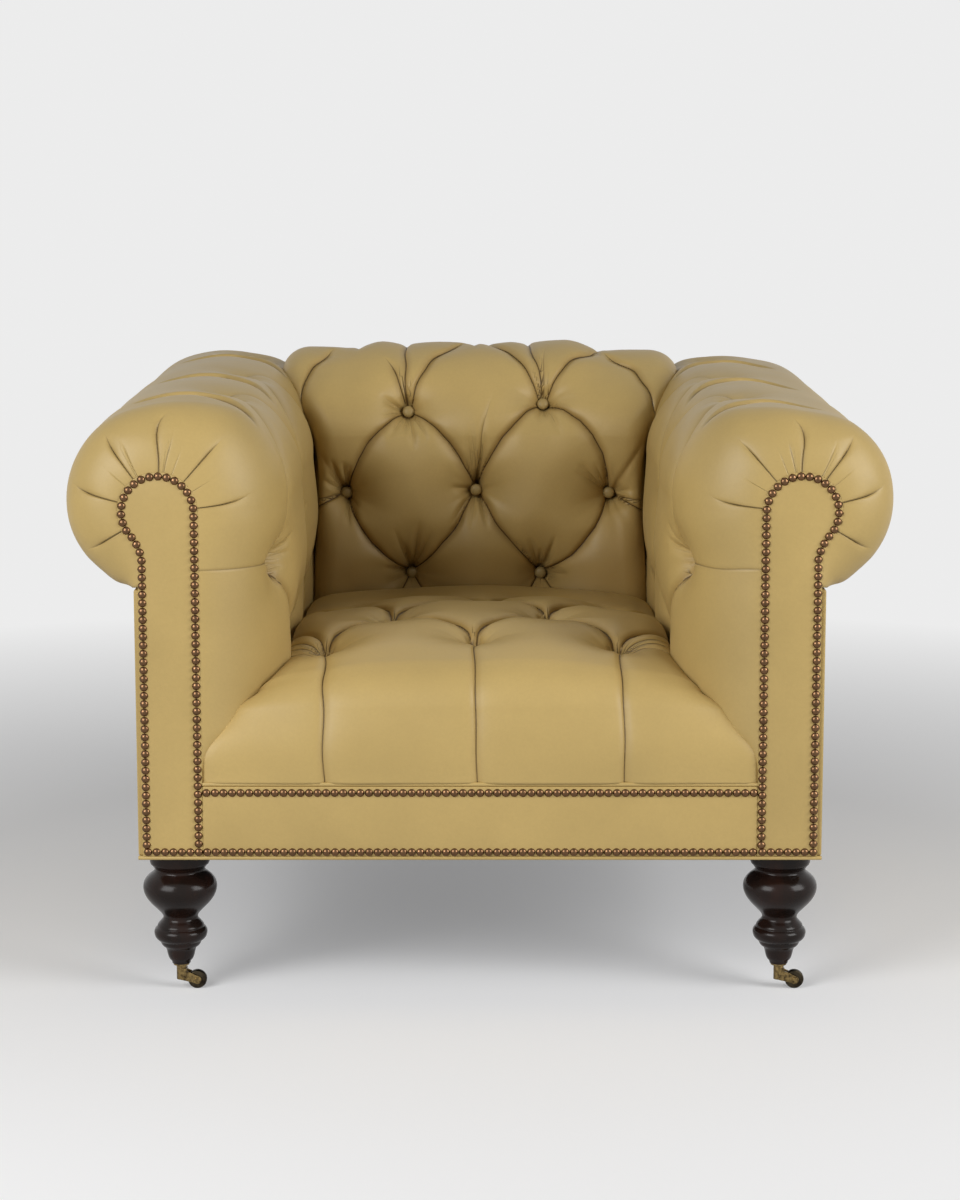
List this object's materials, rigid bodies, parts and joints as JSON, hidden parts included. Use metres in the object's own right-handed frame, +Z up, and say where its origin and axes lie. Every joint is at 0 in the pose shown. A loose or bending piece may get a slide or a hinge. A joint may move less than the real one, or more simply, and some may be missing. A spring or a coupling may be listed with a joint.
{
  "type": "tufted leather club chair",
  "caption": "Deep-buttoned leather club chair with scroll arms, a rolled back, nailhead trim and turned dark legs on small swivel casters.",
  "frame": {"origin": "on the floor under the middle of the chair's box", "axes": "+X to the right seen from the front, +Y from the front to the back, +Z up"},
  "size_m": [1.0676, 0.9649, 0.7943],
  "materials": {
    "leather": "semi-gloss, hand-tufted",
    "leather_trim": "semi-gloss",
    "frame_wood": "planed, unfinished",
    "webbing": "woven jute",
    "foam": "felted padding",
    "dust_cloth": "woven, black",
    "ebonised_wood": "gloss, very dark",
    "aged_brass": "aged",
    "steel": "plain",
    "wheel": "dark, worn"
  },
  "bodies": {
    "chair": {"arm_front_panel_left": "leather", "arm_front_panel_right": "leather", "arm_liner_left": "webbing", "arm_liner_right": "webbing", "arm_pad_left": "leather", "arm_pad_right": "leather", "arm_roll_core_left": "frame_wood", "arm_roll_core_right": "frame_wood", "arm_stay_rail_left": "frame_wood", "arm_stay_rail_right": "frame_wood", "arm_tack_rail_left": "frame_wood", "arm_tack_rail_right": "frame_wood", "back_buttons": "leather_trim", "back_liner": "webbing", "back_pad": "leather", "back_post_left": "frame_wood", "back_post_right": "frame_wood", "back_roll_core": "frame_wood", "back_tack_rail": "frame_wood", "base_welt": "leather_trim", "caster_sockets": "aged_brass", "corner_blocks": "frame_wood", "corner_post_left": "frame_wood", "corner_post_right": "frame_wood", "dust_cover": "dust_cloth", "front_border_panel": "leather", "front_rail": "frame_wood", "front_stump_left": "frame_wood", "front_stump_right": "frame_wood", "leg_bolts": "steel", "leg_front_left": "ebonised_wood", "leg_front_right": "ebonised_wood", "leg_rear_left": "ebonised_wood", "leg_rear_right": "ebonised_wood", "outside_arm_panel_left": "leather", "outside_arm_panel_right": "leather", "outside_back_panel": "leather", "rear_rail": "frame_wood", "rear_scroll_facing_left": "leather", "rear_scroll_facing_right": "leather", "seat_foam_core": "foam", "seat_pad": "leather", "seat_welt": "leather_trim", "side_rail_left": "frame_wood", "side_rail_right": "frame_wood", "webbing_crosswise": "webbing", "webbing_lengthwise": "webbing"},
    "caster_front_left": {"caster_fork_front_left": "aged_brass", "caster_axle_front_left": "steel"},
    "wheel_front_left": {"caster_wheel_front_left": "wheel"},
    "caster_front_right": {"caster_fork_front_right": "aged_brass", "caster_axle_front_right": "steel"},
    "wheel_front_right": {"caster_wheel_front_right": "wheel"},
    "caster_rear_left": {"caster_fork_rear_left": "aged_brass", "caster_axle_rear_left": "steel"},
    "wheel_rear_left": {"caster_wheel_rear_left": "wheel"},
    "caster_rear_right": {"caster_fork_rear_right": "aged_brass", "caster_axle_rear_right": "steel"},
    "wheel_rear_right": {"caster_wheel_rear_right": "wheel"}
  },
  "joints": [
    {"name": "swivel_front_left", "type": "hinge", "parent": "chair", "child": "caster_front_left", "pos_m": [-0.3955, -0.4225, 0.0321], "axis": [0, 0, 1], "continuous": true},
    {"name": "roll_front_left", "type": "hinge", "parent": "caster_front_left", "child": "wheel_front_left", "pos_m": [-0.3745, -0.4225, 0.0125], "axis": [0, 1, 0], "continuous": true},
    {"name": "swivel_front_right", "type": "hinge", "parent": "chair", "child": "caster_front_right", "pos_m": [0.3955, -0.4225, 0.0321], "axis": [0, 0, 1], "continuous": true},
    {"name": "roll_front_right", "type": "hinge", "parent": "caster_front_right", "child": "wheel_front_right", "pos_m": [0.4165, -0.4225, 0.0125], "axis": [0, 1, 0], "continuous": true},
    {"name": "swivel_rear_left", "type": "hinge", "parent": "chair", "child": "caster_rear_left", "pos_m": [-0.3955, 0.3375, 0.0321], "axis": [0, 0, 1], "continuous": true},
    {"name": "roll_rear_left", "type": "hinge", "parent": "caster_rear_left", "child": "wheel_rear_left", "pos_m": [-0.3745, 0.3375, 0.0125], "axis": [0, 1, 0], "continuous": true},
    {"name": "swivel_rear_right", "type": "hinge", "parent": "chair", "child": "caster_rear_right", "pos_m": [0.3955, 0.3375, 0.0321], "axis": [0, 0, 1], "continuous": true},
    {"name": "roll_rear_right", "type": "hinge", "parent": "caster_rear_right", "child": "wheel_rear_right", "pos_m": [0.4165, 0.3375, 0.0125], "axis": [0, 1, 0], "continuous": true}
  ]
}
